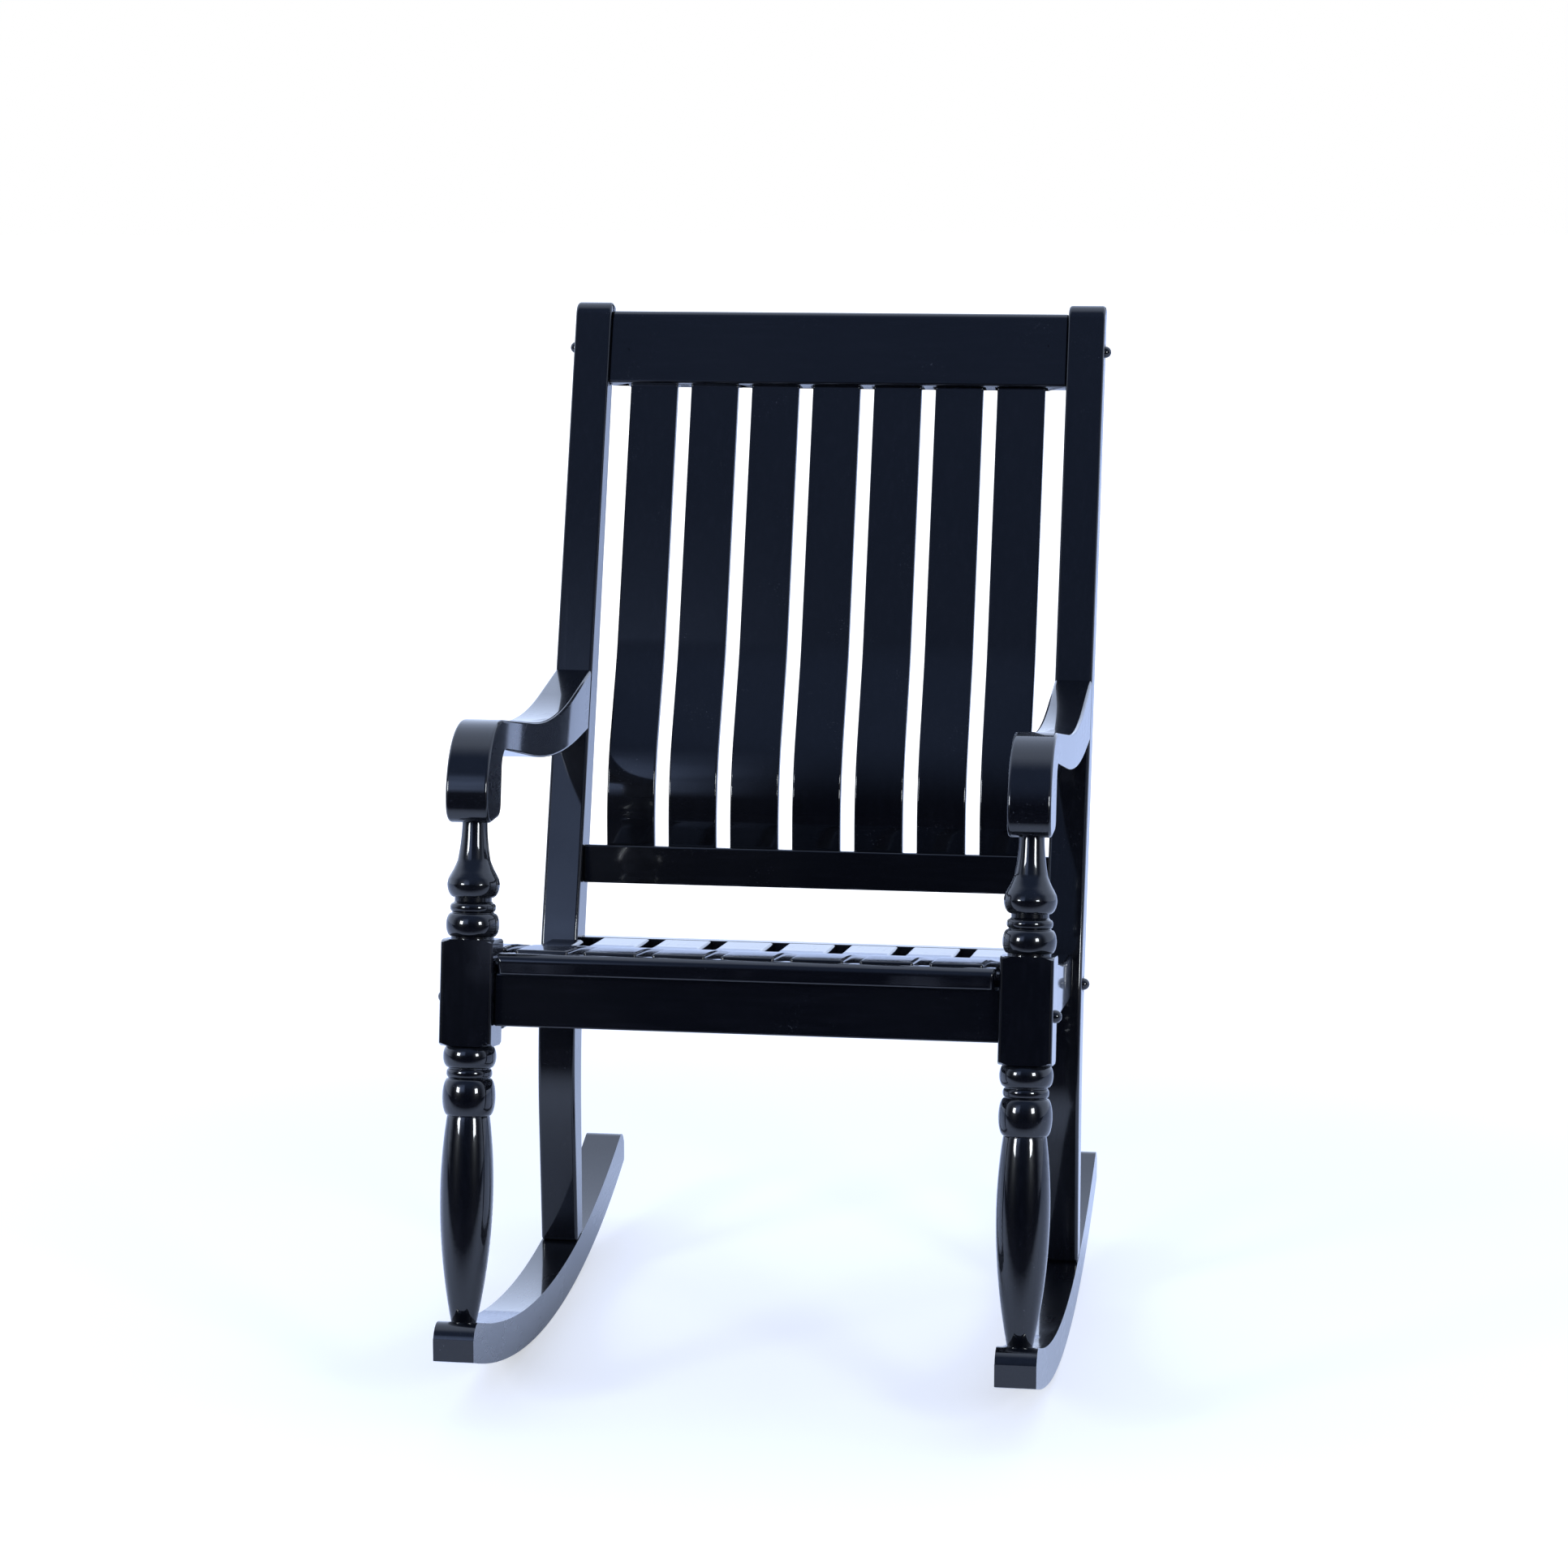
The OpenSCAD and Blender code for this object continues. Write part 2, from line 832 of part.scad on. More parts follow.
module bolt_plug(site) {
    dome_r = plug_d / 2;
    at_site(site, site[3])
        rotate([0, 90, 0])
            rotate_extrude()
                intersection() {
                    union() {
                        translate([0, plug_proud - dome_r])
                            circle(r = dome_r);
                        translate([0, -plug_stem])
                            square([dome_r, plug_stem + plug_proud - dome_r]);
                    }
                    translate([0, -plug_stem])
                        square([dome_r, plug_stem + plug_proud]);
                }
}

module frame_bolts() {
    color(bare_steel)
        both_sides()
            for (site = bolt_sites)
                frame_bolt(site);
}

module barrel_nuts() {
    color(bare_steel)
        both_sides()
            for (site = bolt_sites)
                barrel_nut(site);
}

module bolt_plugs() {
    color(black_lacquer)
        both_sides()
            for (site = bolt_sites)
                bolt_plug(site);
}

// ---- dowels and pins

module side_rail_dowels_right(grow) {
    front_shift = dowel_length / 2 - dowel_into_block;
    rear_z = seat_rear_z(post_bend[0]) - 8;
    for (station = [0.28, 0.8] * block_length) {
        centre = leg_point(station, block_side / 2 + front_shift);
        bar([side_rail_x, centre[0], centre[1]], [90 - frame_lean, 0, 0],
            dowel_d + 2 * grow, dowel_length + 2 * grow);
    }
    for (drop = [12, 36])
        bar([side_rail_x, post_bend[0] + 21, rear_z - drop], [90 - frame_lean, 0, 0],
            dowel_d + 2 * grow, dowel_length + 2 * grow);
}

module side_rail_dowels() {
    color(bare_wood)
        both_sides()
            side_rail_dowels_right(0);
}

module arm_dowels_right(grow) {
    for (drop = [0.3, 0.7] * arm_depth)
        bar([frame_x, post_front_y(arm_z - drop), arm_z - drop], [90 - back_lean, 0, 0],
            dowel_d + 2 * grow, dowel_length + 2 * grow);
}

module arm_dowels() {
    color(bare_wood)
        both_sides()
            arm_dowels_right(0);
}

module post_foot_dowels_right(grow) {
    foot_y = post_bend[0] + 34;
    for (offset = [-8, 8])
        bar([frame_x + offset, foot_y, rocker_top_z(foot_y)], [0, 0, 0],
            dowel_d + 2 * grow, dowel_length + 2 * grow);
}

module post_foot_dowels() {
    color(bare_wood)
        both_sides()
            post_foot_dowels_right(0);
}

module lower_rail_dowels_right(grow) {
    in_lower_rail()
        for (share = [0.25, 0.75])
            bar([frame_inner_x, lower_rail_thick / 2, share * lower_rail_h],
                [0, 90, 0], dowel_d + 2 * grow, dowel_length + 2 * grow);
}

module lower_rail_dowels() {
    color(bare_wood)
        both_sides()
            lower_rail_dowels_right(0);
}

// One pin near each end of every slat, up into its underside.
module slat_pin_set(grow) {
    front_y = seat_slat_front_y + 7;
    rear_y = rear_rail_y + 9;
    front_z = seat_front_z(front_y) - seat_slat_thick;
    rear_z = seat_rear_z(rear_y) - seat_slat_thick;
    for (number = [1:slat_count]) {
        bar([slat_x(number), front_y, front_z - 4], [0, 0, 0], pin_d + 2 * grow, pin_length + 2 * grow);
        bar([slat_x(number), rear_y, rear_z - 4], [0, 0, 0], pin_d + 2 * grow, pin_length + 2 * grow);
    }
}

module seat_slat_pins() {
    color(bare_steel)
        slat_pin_set(0);
}

module seat_slat_pin_bores() {
    slat_pin_set(fit_gap);
}

module nose_pins(grow) {
    centre = leg_point(nose_low_station, (nose_set + nose_depth - front_rail_set) / 2);
    for (place = [-2:2])
        bar([place * nose_pin_spacing, centre[0], centre[1]], [-frame_lean, 0, 0],
            nose_pin_d + 2 * grow, pin_length + 2 * grow);
}

module nose_board_pins() {
    color(bare_wood)
        nose_pins(0);
}

// ---- nodes

left_copy() rocker();  // rocker_left
rocker();  // rocker_right
left_copy() front_leg();  // front_leg_left
front_leg();  // front_leg_right
left_copy() rear_post();  // rear_post_left
rear_post();  // rear_post_right
left_copy() arm();  // arm_left
arm();  // arm_right
crest_rail();
lower_back_rail();
back_slat(1);  // back_slat_1
back_slat(2);  // back_slat_2
back_slat(3);  // back_slat_3
back_slat(4);  // back_slat_4
back_slat(5);  // back_slat_5
back_slat(6);  // back_slat_6
back_slat(7);  // back_slat_7
front_seat_rail();
rear_seat_rail();
left_copy() side_seat_rail();  // side_seat_rail_left
side_seat_rail();  // side_seat_rail_right
seat_nose_board();
seat_slat(1);  // seat_slat_1
seat_slat(2);  // seat_slat_2
seat_slat(3);  // seat_slat_3
seat_slat(4);  // seat_slat_4
seat_slat(5);  // seat_slat_5
seat_slat(6);  // seat_slat_6
seat_slat(7);  // seat_slat_7
frame_bolts();
barrel_nuts();
bolt_plugs();
side_rail_dowels();
arm_dowels();
post_foot_dowels();
lower_rail_dowels();
seat_slat_pins();
nose_board_pins();
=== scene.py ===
"""Looks of the lacquered rocking chair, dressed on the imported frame."""

import json
import math

import bpy
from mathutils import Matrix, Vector

# Camera: metres and degrees, in the chair's frame
CAMERA_PLACE = (0.6666, -4.4849, 1.3911)
CAMERA_PITCH = -9.5
CAMERA_YAW = 8.557
LENS_MM = 93.36
SENSOR_MM = 36.0
# Tilt of a Blender camera that looks along the floor
LEVEL_TILT = 90.0

# Rounding of the wooden edges, by the start of the node's name, in metres.
# The turned legs' edges are all in the CAD.
EDGE_ROUND = {
    "rocker": 0.0045,
    "front_leg": 0.0,
    "rear_post": 0.0040,
    "arm": 0.0035,
    "crest_rail": 0.0028,
    "lower_back_rail": 0.0020,
    "back_slat": 0.0022,
    "front_seat_rail": 0.0020,
    "rear_seat_rail": 0.0015,
    "side_seat_rail": 0.0050,
    "seat_nose_board": 0.0012,
    "seat_slat": 0.0035,
}
# Only the rockers' rounding is held back at short edges, as their ends are the chair's front and back
ROUND_HELD_BACK = "rocker"
ROUND_STEPS = 4
# Edges sharper than this are rounded, or kept sharp in the shading
SHARP_ANGLE = math.radians(32)
# Faces flatter to each other than this are joined, and points closer than this in metres are welded
COPLANAR_ANGLE = math.radians(0.1)
WELD_DISTANCE = 0.00002
FACE_AREA_WEIGHT = 100

# Grain direction: how far the wood's texture is stretched along X, Y and Z
GRAIN_ALONG_X = (0.08, 1.0, 1.0)
GRAIN_ALONG_Y = (1.0, 0.08, 1.0)
GRAIN_ALONG_Z = (1.0, 1.0, 0.08)

# Sockets of a colour Mix node
MIX_FIRST = 6
MIX_SECOND = 7
MIX_RESULT = 2

# Lacquer colours, linear RGBA
PAINT_CLEAR = (0.0008, 0.0010, 0.0018, 1.0)
PAINT_HAZY = (0.0018, 0.0021, 0.0036, 1.0)
PAINT_STREAK = (0.0035, 0.0038, 0.0060, 1.0)
PAINT_DUST = (0.30, 0.31, 0.36, 1.0)
PAINT_RUBBED = (0.05, 0.052, 0.062, 1.0)

# Noise of each pattern in the lacquer: scale (larger is finer), detail and roughness
HAZE_NOISE = (6.0, 3.0, 0.55)
DUST_PATCH_NOISE = (14.0, 2.0, 0.5)
WAVINESS_NOISE = (26.0, 2.0, 0.4)
STREAK_NOISE = (190.0, 3.0, 0.6)
ORANGE_PEEL_NOISE = (330.0, 2.0, 0.5)
DUST_NOISE = (900.0, 1.0, 0.5)

# Noise values, or pointiness for the rubbed edges, between which each pattern goes from absent to full
STREAK_RANGE = (0.45, 0.75)
DUST_RANGE = (0.735, 0.79)
DUST_PATCH_RANGE = (0.52, 0.75)
RUBBED_EDGE_RANGE = (0.53, 0.60)
RUBBED_PLACE_RANGE = (0.5, 0.7)
HAZE_ROUGH_RANGE = (0.35, 0.75)

# How strongly each pattern colours the lacquer
STREAK_SHARE = 0.5
DUST_SHARE = 0.55
RUBBED_SHARE = 0.35

# Roughness of the paint under the clear coat
PAINT_ROUGH = (0.24, 0.30)
STREAK_ROUGH = 0.04
DUST_ROUGH = 0.4

# Strength and height in metres of each bump in the lacquer
WAVINESS_BUMP = (0.06, 0.0006)
ORANGE_PEEL_BUMP = (0.015, 0.0002)
DUST_BUMP = (0.10, 0.0001)

LACQUER_IOR = 1.5
PAINT_SPECULAR = 0.08
COAT_ROUGHNESS = 0.05

# Zinc plate and bare wood, with the same kinds of values as the lacquer
ZINC_DARK = (0.42, 0.43, 0.45, 1.0)
ZINC_PALE = (0.66, 0.66, 0.68, 1.0)
ZINC_NOISE = (260.0, 4.0, 0.6)
ZINC_ROUGH = (0.28, 0.5)
ZINC_BUMP = (0.2, 0.0003)
BIRCH_DARK = (0.50, 0.33, 0.18, 1.0)
BIRCH_PALE = (0.72, 0.53, 0.33, 1.0)
BIRCH_NOISE = (420.0, 4.0, 0.6)
BIRCH_ROUGH = (0.55, 0.75)
BIRCH_BUMP = (0.3, 0.0003)
# Noise values over which the zinc and the wood go from their lowest to their highest roughness
MOTTLE_RANGE = (0.3, 0.7)

# Floor, in metres
FLOOR_RADIUS = 40.0
FLOOR_SIDES = 96
FLOOR_BELOW = 0.0003
FLOOR_DARK = (0.82, 0.86, 0.96, 1.0)
FLOOR_PALE = (0.86, 0.89, 0.98, 1.0)
# Painted shade: near-black floor colour, shown only in reflections of the floor in front of the chair
FLOOR_PAINTED_SHADE = (0.03, 0.03, 0.04, 1.0)
FLOOR_NOISE = (1.3, 3.0, 0.5)
FLOOR_WHITE = (0.99, 0.995, 1.0, 1.0)
FLOOR_WHITE_STRENGTH = 1.5
# Distances from the chair between which the floor turns from lit to plain white for the camera
FLOOR_WHITE_RANGE = (0.8, 3.2)
# How white the floor already is under the chair
FLOOR_GLOW = 0.33
# Y between which the floor's reflection goes dark, a painted shade seen only in the lacquer
FLOOR_PAINTED_SHADE_RANGE = (-0.6, -1.7)

# Surroundings, linear RGBA, and the directions between which they change
SKY_BEHIND = (1.0, 1.18, 1.58, 1.0)
SKY_FRONT_LOW = (0.014, 0.018, 0.036, 1.0)
SKY_FRONT_HIGH = (0.165, 0.24, 0.45, 1.0)
SKY_SEEN = (1.0, 1.0, 1.0, 1.0)
SKY_BEHIND_RANGE = (-0.45, 0.05)
SKY_HEIGHT_RANGE = (0.10, 0.72)

# Softboxes: distance to each side, Y, height and size in metres, power in watts, and what they aim at
SOFTBOX_SIDE = 2.3
SOFTBOX_Y = -2.8
SOFTBOX_Z = 1.45
SOFTBOX_SIZE = (0.75, 0.75)
SOFTBOX_POWER = 60
SOFTBOX_COLOUR = (0.88, 0.94, 1.0)
LIGHT_TARGET = (0.0, -0.1, 0.6)

# Reflector cloth, in metres
REFLECTOR_SIZE = 2.0
REFLECTOR_PLACE = (-1.45, -2.85, 1.85)
UPRIGHT = (math.radians(90), 0.0, 0.0)
REFLECTOR_COLOUR = (0.45, 0.60, 1.0, 1.0)
# How brightly the cloth shows in the lacquer
REFLECTOR_GLOW = 1.7
REFLECTOR_FOLD_NOISE = (2.2, 3.0, 0.5)
REFLECTOR_FOLD_RANGE = (0.3, 0.7)
REFLECTOR_FOLD_GLOW = (0.7, 1.15)
# Each edge's axis on the cloth, where it is dark and where it is fully lit
REFLECTOR_FADES = (
    ("X", 1.0, 0.45),
    ("X", -1.0, -0.5),
    ("Y", -0.92, -0.6),
    ("Y", 1.0, -0.2),
)


# ---- node helpers

def new_material(name):
    """An empty node material and its node tree, ready to be filled."""
    material = bpy.data.materials.new(name)
    material.use_nodes = True
    material.node_tree.nodes.clear()
    return material, material.node_tree


def add(tree, kind, **values):
    """A node of one kind, with its plain properties set by name."""
    made = tree.nodes.new(kind)
    for key, value in values.items():
        setattr(made, key, value)
    return made


def math_node(tree, operation, first, second):
    """A Math node; each input is a socket or a number."""
    made = add(tree, "ShaderNodeMath", operation=operation)
    for slot, value in zip(made.inputs, (first, second)):
        if isinstance(value, (int, float)):
            slot.default_value = value
        else:
            tree.links.new(value, slot)
    return made.outputs[0]


def noise(tree, place, scale, detail, roughness):
    """Noise value at a place, from 0 to 1."""
    made = add(tree, "ShaderNodeTexNoise")
    tree.links.new(place, made.inputs["Vector"])
    made.inputs["Scale"].default_value = scale
    made.inputs["Detail"].default_value = detail
    made.inputs["Roughness"].default_value = roughness
    return made.outputs["Fac"]


def ramp(tree, value, low, high, to_low=0.0, to_high=1.0):
    """Maps low..high to to_low..to_high with soft ends."""
    made = add(tree, "ShaderNodeMapRange", interpolation_type="SMOOTHSTEP")
    tree.links.new(value, made.inputs["Value"])
    for name, number in (("From Min", low), ("From Max", high), ("To Min", to_low), ("To Max", to_high)):
        made.inputs[name].default_value = number
    return made.outputs["Result"]


def mix_colour(tree, share, first, second):
    """Blend of two colours; each is a socket or an RGBA tuple."""
    made = add(tree, "ShaderNodeMix", data_type="RGBA")
    tree.links.new(share, made.inputs["Factor"])
    for slot, value in ((made.inputs[MIX_FIRST], first), (made.inputs[MIX_SECOND], second)):
        if isinstance(value, tuple):
            slot.default_value = value
        else:
            tree.links.new(value, slot)
    return made.outputs[MIX_RESULT]


def mix_shader(tree, share, first, second):
    """Blend of two shader nodes."""
    made = add(tree, "ShaderNodeMixShader")
    tree.links.new(share, made.inputs[0])
    tree.links.new(first.outputs[0], made.inputs[1])
    tree.links.new(second.outputs[0], made.inputs[2])
    return made


def bump(tree, height, strength, distance, below=None):
    """Normal bent by a height, on top of another bump if one is given."""
    made = add(tree, "ShaderNodeBump")
    made.inputs["Strength"].default_value = strength
    made.inputs["Distance"].default_value = distance
    tree.links.new(height, made.inputs["Height"])
    if below is not None:
        tree.links.new(below, made.inputs["Normal"])
    return made.outputs["Normal"]


def show_surface(tree, shader):
    """Sends a shader node to the material's surface."""
    output = add(tree, "ShaderNodeOutputMaterial")
    tree.links.new(shader.outputs[0], output.inputs["Surface"])


def stretched(tree, place, factors):
    """Coordinates scaled along each axis."""
    made = add(tree, "ShaderNodeMapping")
    made.inputs["Scale"].default_value = factors
    tree.links.new(place, made.inputs["Vector"])
    return made.outputs["Vector"]


# ---- materials

def lacquer(name, grain):
    """High-gloss black lacquer over wood, with faint grain, haze, dust and rubbed edges."""
    material, tree = new_material(name)
    place = add(tree, "ShaderNodeTexCoord").outputs["Object"]
    along_grain = stretched(tree, place, grain)

    haze = noise(tree, place, *HAZE_NOISE)
    streaks = noise(tree, along_grain, *STREAK_NOISE)
    orange_peel = noise(tree, place, *ORANGE_PEEL_NOISE)
    waviness = noise(tree, along_grain, *WAVINESS_NOISE)
    dust = ramp(tree, noise(tree, place, *DUST_NOISE), *DUST_RANGE)
    dust_patches = ramp(tree, noise(tree, place, *DUST_PATCH_NOISE), *DUST_PATCH_RANGE)
    dust = math_node(tree, "MULTIPLY", dust, dust_patches)

    black = mix_colour(tree, haze, PAINT_CLEAR, PAINT_HAZY)
    black = mix_colour(tree, ramp(tree, streaks, *STREAK_RANGE, 0.0, STREAK_SHARE), black, PAINT_STREAK)
    colour = mix_colour(tree, math_node(tree, "MULTIPLY", dust, DUST_SHARE), black, PAINT_DUST)

    pointiness = add(tree, "ShaderNodeNewGeometry").outputs["Pointiness"]
    edge = ramp(tree, pointiness, *RUBBED_EDGE_RANGE)
    wear = math_node(tree, "MULTIPLY", edge, ramp(tree, haze, *RUBBED_PLACE_RANGE))
    colour = mix_colour(tree, math_node(tree, "MULTIPLY", wear, RUBBED_SHARE), colour, PAINT_RUBBED)

    rough = ramp(tree, haze, *HAZE_ROUGH_RANGE, *PAINT_ROUGH)
    rough = math_node(tree, "ADD", rough, math_node(tree, "MULTIPLY", streaks, STREAK_ROUGH))
    rough = math_node(tree, "ADD", rough, math_node(tree, "MULTIPLY", dust, DUST_ROUGH))

    normal = bump(tree, waviness, *WAVINESS_BUMP)
    normal = bump(tree, orange_peel, *ORANGE_PEEL_BUMP, normal)
    normal = bump(tree, dust, *DUST_BUMP, normal)

    surface = add(tree, "ShaderNodeBsdfPrincipled")
    surface.inputs["IOR"].default_value = LACQUER_IOR
    surface.inputs["Specular IOR Level"].default_value = PAINT_SPECULAR
    surface.inputs["Coat Weight"].default_value = 1.0
    surface.inputs["Coat Roughness"].default_value = COAT_ROUGHNESS
    surface.inputs["Coat IOR"].default_value = LACQUER_IOR
    tree.links.new(colour, surface.inputs["Base Color"])
    tree.links.new(rough, surface.inputs["Roughness"])
    tree.links.new(normal, surface.inputs["Normal"])
    tree.links.new(normal, surface.inputs["Coat Normal"])
    show_surface(tree, surface)
    return material


def zinc_steel():
    """Dull zinc plate on the bolts, nuts and pins."""
    material, tree = new_material("zinc_steel")
    place = add(tree, "ShaderNodeTexCoord").outputs["Object"]
    mottle = noise(tree, place, *ZINC_NOISE)
    surface = add(tree, "ShaderNodeBsdfPrincipled")
    surface.inputs["Metallic"].default_value = 1.0
    colour = mix_colour(tree, mottle, ZINC_DARK, ZINC_PALE)
    tree.links.new(colour, surface.inputs["Base Color"])
    tree.links.new(ramp(tree, mottle, *MOTTLE_RANGE, *ZINC_ROUGH), surface.inputs["Roughness"])
    tree.links.new(bump(tree, mottle, *ZINC_BUMP), surface.inputs["Normal"])
    show_surface(tree, surface)
    return material


def raw_birch():
    """Uncoated wood of the dowels and pins."""
    material, tree = new_material("raw_birch")
    place = add(tree, "ShaderNodeTexCoord").outputs["Object"]
    grain = noise(tree, stretched(tree, place, GRAIN_ALONG_Z), *BIRCH_NOISE)
    surface = add(tree, "ShaderNodeBsdfPrincipled")
    colour = mix_colour(tree, grain, BIRCH_DARK, BIRCH_PALE)
    tree.links.new(colour, surface.inputs["Base Color"])
    tree.links.new(ramp(tree, grain, *MOTTLE_RANGE, *BIRCH_ROUGH), surface.inputs["Roughness"])
    tree.links.new(bump(tree, grain, *BIRCH_BUMP), surface.inputs["Normal"])
    show_surface(tree, surface)
    return material


def floor_paint():
    """Seamless pale floor, with painted shade that makes it darker in reflections in front of the chair.
    """
    material, tree = new_material("studio_floor")
    place = add(tree, "ShaderNodeTexCoord").outputs["Object"]
    mottle = noise(tree, place, *FLOOR_NOISE)
    pale = mix_colour(tree, mottle, FLOOR_DARK, FLOOR_PALE)
    white = add(tree, "ShaderNodeBsdfDiffuse")
    tree.links.new(pale, white.inputs["Color"])
    painted_shade = add(tree, "ShaderNodeBsdfDiffuse")
    painted_shade.inputs["Color"].default_value = FLOOR_PAINTED_SHADE
    glow = add(tree, "ShaderNodeEmission")
    glow.inputs["Color"].default_value = FLOOR_WHITE
    glow.inputs["Strength"].default_value = FLOOR_WHITE_STRENGTH
    split = add(tree, "ShaderNodeSeparateXYZ")
    tree.links.new(place, split.inputs[0])
    from_chair = add(tree, "ShaderNodeVectorMath", operation="LENGTH")
    tree.links.new(place, from_chair.inputs[0])
    far = ramp(tree, from_chair.outputs["Value"], *FLOOR_WHITE_RANGE, FLOOR_GLOW, 1.0)
    path = add(tree, "ShaderNodeLightPath")
    # Painted shade: glossy rays see the floor in front of the chair as dark, camera and diffuse rays do
    # not
    in_front = ramp(tree, split.outputs["Y"], *FLOOR_PAINTED_SHADE_RANGE)
    painted_shade_share = math_node(tree, "MULTIPLY", in_front, path.outputs["Is Glossy Ray"])
    seen_directly = math_node(tree, "MULTIPLY", path.outputs["Is Camera Ray"], far)
    paint = mix_shader(tree, painted_shade_share, white, painted_shade)
    paint = mix_shader(tree, seen_directly, paint, glow)
    show_surface(tree, paint)
    return material


# ---- geometry

def grain_of(node):
    """The way the grain runs in a node."""
    if node.startswith(("rocker", "arm", "side_seat", "seat_slat")):
        return "Y"
    if node in ("crest_rail", "lower_back_rail", "front_seat_rail", "rear_seat_rail", "seat_nose_board"):
        return "X"
    return "Z"


def smooth_by_angle():
    """Geometry nodes that shade a mesh smooth, except over its sharp edges."""
    group = bpy.data.node_groups.new("smooth_by_angle", "GeometryNodeTree")
    group.interface.new_socket("Geometry", in_out="INPUT", socket_type="NodeSocketGeometry")
    group.interface.new_socket("Geometry", in_out="OUTPUT", socket_type="NodeSocketGeometry")
    start = add(group, "NodeGroupInput")
    faces = add(group, "GeometryNodeSetShadeSmooth", domain="FACE")
    edges = add(group, "GeometryNodeSetShadeSmooth", domain="EDGE")
    end = add(group, "NodeGroupOutput")
    angle = add(group, "GeometryNodeInputMeshEdgeAngle")
    sharp = math_node(group, "GREATER_THAN", angle.outputs["Unsigned Angle"], SHARP_ANGLE)
    edges.inputs["Shade Smooth"].default_value = False
    group.links.new(start.outputs[0], faces.inputs["Geometry"])
    group.links.new(faces.outputs[0], edges.inputs["Geometry"])
    group.links.new(sharp, edges.inputs["Selection"])
    group.links.new(edges.outputs[0], end.inputs[0])
    return group


def finish_mesh(piece, width, held_back, shading):
    """Joins the CAD faces into one skin, rounds its sharp edges over and smooths the curves."""
    weld = piece.modifiers.new("weld", "WELD")
    weld.merge_threshold = WELD_DISTANCE
    flat = piece.modifiers.new("flat_faces", "DECIMATE")
    flat.decimate_type = "DISSOLVE"
    flat.angle_limit = COPLANAR_ANGLE
    if width:
        rounding = piece.modifiers.new("round_edges", "BEVEL")
        rounding.width = width
        rounding.segments = ROUND_STEPS
        rounding.limit_method = "ANGLE"
        rounding.angle_limit = SHARP_ANGLE
        rounding.use_clamp_overlap = held_back
    smooth = piece.modifiers.new("smooth_by_angle", "NODES")
    smooth.node_group = shading
    weighted = piece.modifiers.new("weighted_normals", "WEIGHTED_NORMAL")
    weighted.keep_sharp = True
    weighted.weight = FACE_AREA_WEIGHT


def dress_nodes():
    """Gives every CAD node its material, and rounds the edges of the wood."""
    coats = {
        "X": lacquer("black_lacquer_x", GRAIN_ALONG_X),
        "Y": lacquer("black_lacquer_y", GRAIN_ALONG_Y),
        "Z": lacquer("black_lacquer_z", GRAIN_ALONG_Z),
    }
    steel = zinc_steel()
    wood = raw_birch()
    shading = smooth_by_angle()
    for part in frame["record"]["subparts"]:
        node = part["node"]
        piece = frame["nodes"][node]
        finish = {"bare_steel": steel, "bare_wood": wood}.get(part["material_slot"], coats[grain_of(node)])
        for slot in piece.material_slots:
            slot.material = finish
        if part["material_slot"] != "black_lacquer":
            continue
        for start, width in EDGE_ROUND.items():
            if node.startswith(start):
                finish_mesh(piece, width, start == ROUND_HELD_BACK, shading)
                break


# ---- stage

def make_floor():
    """Large round floor."""
    bpy.ops.mesh.primitive_circle_add(vertices=FLOOR_SIDES, radius=FLOOR_RADIUS, fill_type="NGON",
                                      location=(0.0, 0.0, -FLOOR_BELOW))
    floor = bpy.context.object
    floor.name = "floor"
    floor.data.materials.append(floor_paint())


def make_world():
    """White behind and beside the chair, dark in front of it; seen directly it is white all round."""
    world = bpy.data.worlds.new("studio")
    bpy.context.scene.world = world
    world.use_nodes = True
    tree = world.node_tree
    tree.nodes.clear()
    direction = add(tree, "ShaderNodeTexCoord").outputs["Generated"]
    split = add(tree, "ShaderNodeSeparateXYZ")
    tree.links.new(direction, split.inputs[0])
    behind = ramp(tree, split.outputs["Y"], *SKY_BEHIND_RANGE)
    upward = ramp(tree, split.outputs["Z"], *SKY_HEIGHT_RANGE)
    in_front = mix_colour(tree, upward, SKY_FRONT_LOW, SKY_FRONT_HIGH)
    around = mix_colour(tree, behind, in_front, SKY_BEHIND)
    path = add(tree, "ShaderNodeLightPath")
    seen = mix_colour(tree, path.outputs["Is Camera Ray"], around, SKY_SEEN)
    background = add(tree, "ShaderNodeBackground")
    tree.links.new(seen, background.inputs["Color"])
    output = add(tree, "ShaderNodeOutputWorld")
    tree.links.new(background.outputs[0], output.inputs["Surface"])


def softbox(name, place):
    """Rectangular studio light at a place, aimed at the chair."""
    lamp = bpy.data.lights.new(name, "AREA")
    lamp.shape = "RECTANGLE"
    lamp.size, lamp.size_y = SOFTBOX_SIZE
    lamp.energy = SOFTBOX_POWER
    lamp.color = SOFTBOX_COLOUR
    holder = bpy.data.objects.new(name, lamp)
    bpy.context.scene.collection.objects.link(holder)
    holder.location = place
    aim = [t - p for t, p in zip(LIGHT_TARGET, place)]
    holder.rotation_mode = "QUATERNION"
    holder.rotation_quaternion = Vector(aim).to_track_quat("-Z", "Y")
    holder.visible_camera = False


def make_lights():
    """A pair of softboxes, to the left and right in front of the chair."""
    for side, name in ((-1, "softbox_left"), (1, "softbox_right")):
        softbox(name, (side * SOFTBOX_SIDE, SOFTBOX_Y, SOFTBOX_Z))


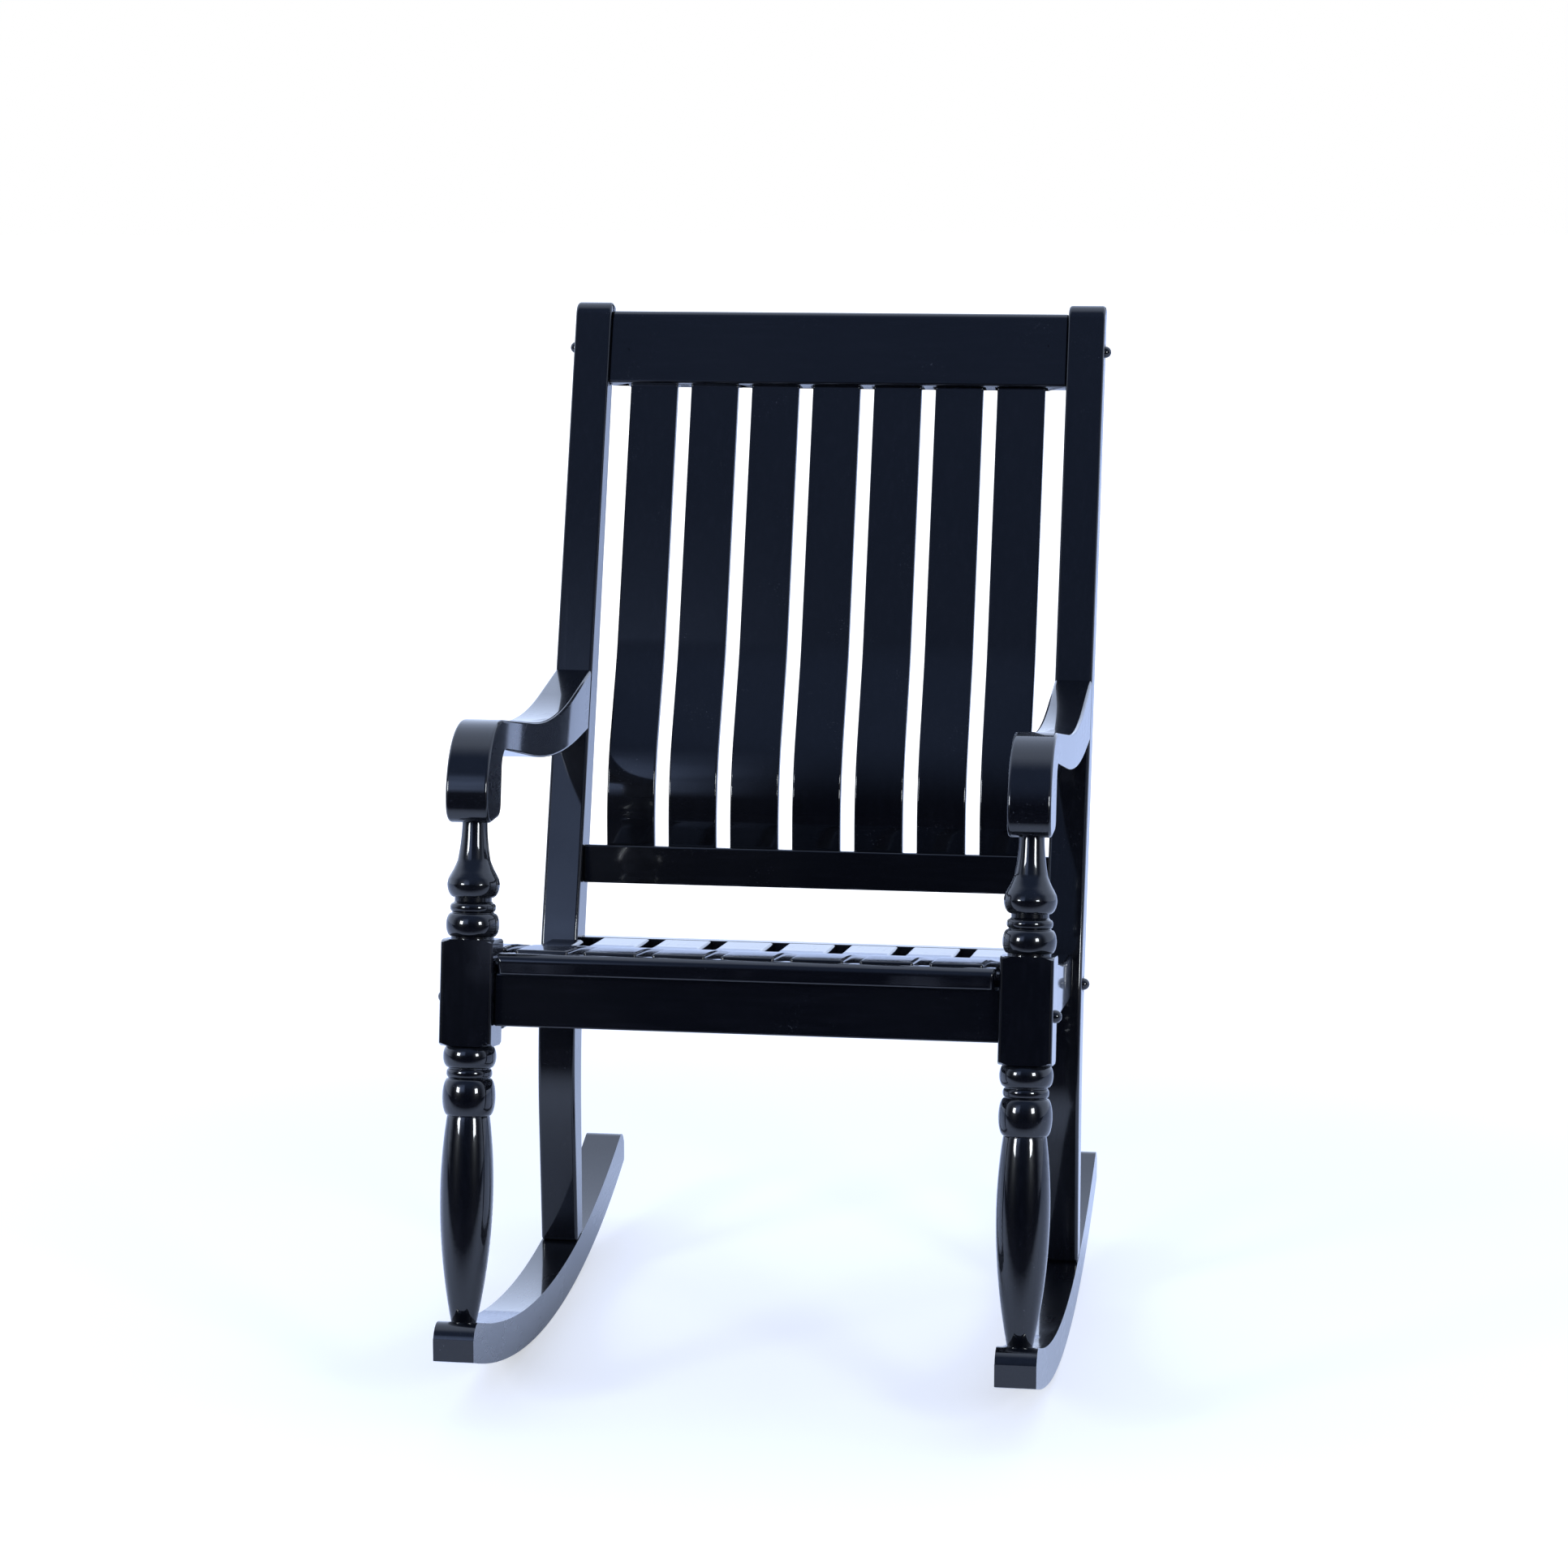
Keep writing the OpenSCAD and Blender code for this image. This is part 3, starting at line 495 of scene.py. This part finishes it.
def reflector_cloth():
    """Thin lit cloth that fades out towards its edges, most quickly towards the lower one."""
    material, tree = new_material("reflector_cloth")
    place = add(tree, "ShaderNodeTexCoord").outputs["Object"]
    split = add(tree, "ShaderNodeSeparateXYZ")
    tree.links.new(place, split.inputs[0])
    lit = ramp(tree, noise(tree, place, *REFLECTOR_FOLD_NOISE), *REFLECTOR_FOLD_RANGE,
               *REFLECTOR_FOLD_GLOW)
    for axis, dark, bright in REFLECTOR_FADES:
        lit = math_node(tree, "MULTIPLY", lit, ramp(tree, split.outputs[axis], dark, bright))
    glow = add(tree, "ShaderNodeEmission")
    glow.inputs["Color"].default_value = REFLECTOR_COLOUR
    tree.links.new(math_node(tree, "MULTIPLY", lit, REFLECTOR_GLOW), glow.inputs["Strength"])
    clear = add(tree, "ShaderNodeBsdfTransparent")
    both = add(tree, "ShaderNodeAddShader")
    tree.links.new(glow.outputs[0], both.inputs[0])
    tree.links.new(clear.outputs[0], both.inputs[1])
    show_surface(tree, both)
    return material


def make_reflector():
    """Soft reflector standing to the left of the camera, seen only in the lacquer."""
    bpy.ops.mesh.primitive_plane_add(size=REFLECTOR_SIZE, location=REFLECTOR_PLACE, rotation=UPRIGHT)
    reflector = bpy.context.object
    reflector.name = "reflector"
    reflector.visible_camera = False
    reflector.visible_shadow = False
    reflector.data.materials.append(reflector_cloth())


def make_camera():
    """Camera at the viewing angle the chair is shown from."""
    camera = bpy.data.cameras.new("camera")
    camera.lens = LENS_MM
    camera.sensor_width = SENSOR_MM
    camera.sensor_fit = "HORIZONTAL"
    holder = bpy.data.objects.new("camera", camera)
    bpy.context.scene.collection.objects.link(holder)
    holder.location = CAMERA_PLACE
    holder.rotation_euler = (math.radians(LEVEL_TILT + CAMERA_PITCH), 0.0, math.radians(CAMERA_YAW))
    bpy.context.scene.camera = holder


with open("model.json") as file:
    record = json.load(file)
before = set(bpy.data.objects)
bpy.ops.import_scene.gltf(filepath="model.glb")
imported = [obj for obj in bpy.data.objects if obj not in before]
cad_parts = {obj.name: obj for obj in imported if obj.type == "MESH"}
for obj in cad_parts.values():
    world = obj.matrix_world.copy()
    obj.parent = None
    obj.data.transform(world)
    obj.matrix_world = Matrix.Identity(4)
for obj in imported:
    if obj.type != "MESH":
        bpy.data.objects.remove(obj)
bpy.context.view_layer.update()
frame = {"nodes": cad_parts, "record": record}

make_camera()
make_floor()
make_world()
make_lights()
make_reflector()
dress_nodes()

bpy.context.scene.view_settings.view_transform = "Standard"

bpy.context.view_layer.update()
